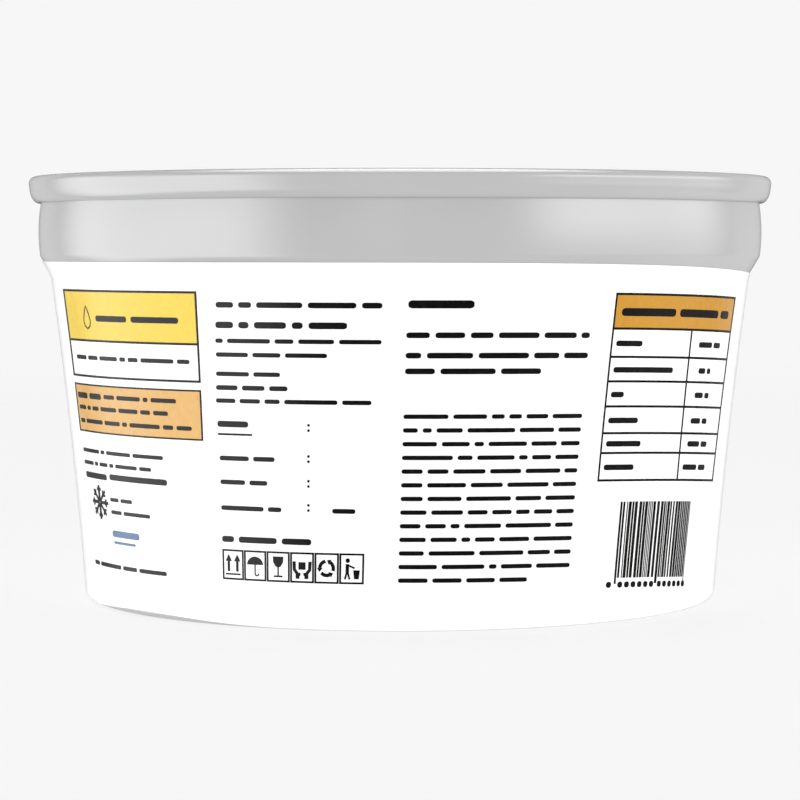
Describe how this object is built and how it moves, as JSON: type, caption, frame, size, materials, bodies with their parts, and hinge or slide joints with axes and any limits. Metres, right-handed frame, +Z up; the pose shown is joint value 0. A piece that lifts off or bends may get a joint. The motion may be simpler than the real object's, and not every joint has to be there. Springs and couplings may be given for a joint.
{
  "type": "lidded plastic cheese tub",
  "caption": "Shut round plastic tub of mozzarella with a push-on lid and a wrap-round printed label.",
  "frame": {"origin": "middle of the base, on the surface the tub stands on", "axes": "+Z up along the tub's axis, -Y towards the side of the label that carries the small print, +X to the right of it"},
  "size_m": [0.118, 0.118, 0.0666],
  "materials": {
    "tub_plastic": "satin moulded polypropylene, pale grey",
    "lid_plastic": "satin moulded polypropylene, pale grey",
    "label_film": "smooth white film with black, orange and yellow print"
  },
  "bodies": {
    "root": {"tub": "tub_plastic", "lid": "lid_plastic", "label": "label_film"}
  },
  "joints": []
}
